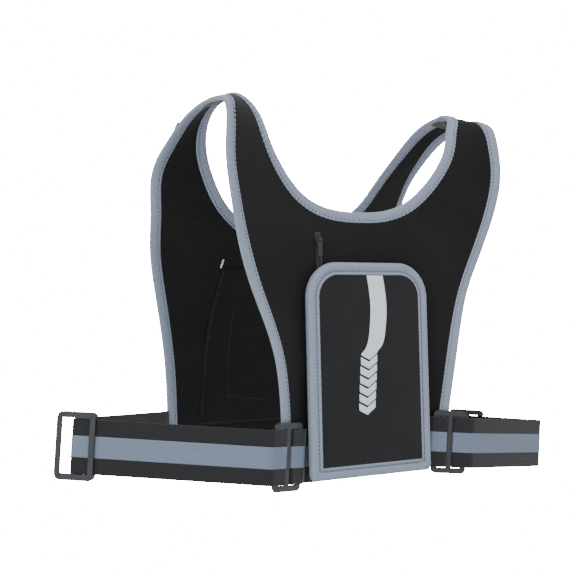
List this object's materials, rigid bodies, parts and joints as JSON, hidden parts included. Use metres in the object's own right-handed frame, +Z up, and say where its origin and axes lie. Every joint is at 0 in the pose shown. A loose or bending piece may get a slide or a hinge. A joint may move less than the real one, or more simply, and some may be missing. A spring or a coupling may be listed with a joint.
{
  "type": "reflective running vest",
  "caption": "Over-the-head black vest with grey bound edges, a fold-down chest phone pocket with reflective marks, and side webbing loops on slide adjusters.",
  "frame": {"origin": "On the mid-plane, midway between the front and back hems, level with the lower edge of the phone pocket.", "axes": "X runs across the wearer from -X to +X seen from the front, the phone pocket faces -Y, Z is up."},
  "size_m": [0.5199, 0.2604, 0.379],
  "materials": {
    "neoprene": "knit-faced neoprene, matt",
    "binding_tape": "grey satin-woven tape",
    "pocket_fabric": "fine plain-weave nylon",
    "clear_film": "clear flexible film, gloss",
    "reflective_film": "glass-bead reflective film",
    "black_tape": "twill tape",
    "hook_and_loop": "hook-and-loop pile",
    "zip_coil": "moulded coil",
    "zip_metal": "black enamel over zinc",
    "mesh": "open knitted mesh",
    "elastic": "braided elastic",
    "thread": "polyester thread",
    "webbing": "ribbed polyester webbing",
    "webbing_stripe": "woven-in reflective stripe",
    "acetal": "moulded acetal, fine texture"
  },
  "bodies": {
    "vest": {"back_hem_binding": "binding_tape", "back_panel": "neoprene", "cable_loop": "elastic", "cable_loop_tacks": "thread", "front_hem_binding": "binding_tape", "front_panel": "neoprene", "inner_back_pocket": "pocket_fabric", "key_pocket_bag": "mesh", "left_armhole_binding": "binding_tape", "left_belt": "webbing", "left_belt_stripe": "webbing_stripe", "left_front_ring": "acetal", "left_front_tab": "webbing", "left_shoulder_tape": "black_tape", "loop_patch": "hook_and_loop", "neck_binding": "binding_tape", "right_armhole_binding": "binding_tape", "right_belt": "webbing", "right_belt_stripe": "webbing_stripe", "right_front_ring": "acetal", "right_front_tab": "webbing", "right_shoulder_tape": "black_tape", "zip_coil": "zip_coil", "zip_stops": "zip_metal", "zip_tapes": "black_tape"},
    "pocket": {"hook_patch": "hook_and_loop", "pocket_back": "pocket_fabric", "pocket_binding": "binding_tape", "pocket_front": "pocket_fabric", "pocket_hinge_tape": "black_tape", "pocket_window": "clear_film", "reflective_chevrons": "reflective_film", "reflective_stripe": "reflective_film"},
    "left_adjuster": {"left_adjuster": "acetal"},
    "right_adjuster": {"right_adjuster": "acetal"},
    "zip_slider": {"zip_slider": "zip_metal"},
    "zip_pull": {"zip_pull": "zip_metal"}
  },
  "joints": [
    {"name": "pocket_fold", "type": "hinge", "parent": "vest", "child": "pocket", "pos_m": [0, -0.113, 0.0036], "axis": [1, 0, 0], "range_deg": [0, 100]},
    {"name": "left_adjuster_slide", "type": "slide", "parent": "vest", "child": "left_adjuster", "axis": [0.7691, -0.6384, -0.0294], "range_m": [0, 0.09]},
    {"name": "right_adjuster_slide", "type": "slide", "parent": "vest", "child": "right_adjuster", "axis": [0.8699, -0.4901, -0.0564], "range_m": [0, 0.045]},
    {"name": "zip_slide", "type": "slide", "parent": "vest", "child": "zip_slider", "axis": [0.037, -0.0486, -0.9981], "range_m": [0, 0.09]},
    {"name": "zip_pull_swing", "type": "hinge", "parent": "zip_slider", "child": "zip_pull", "pos_m": [-0.05037, -0.1145, 0.22548], "axis": [-0.9972, -0.0667, -0.0337], "range_deg": [0, 5]}
  ]
}
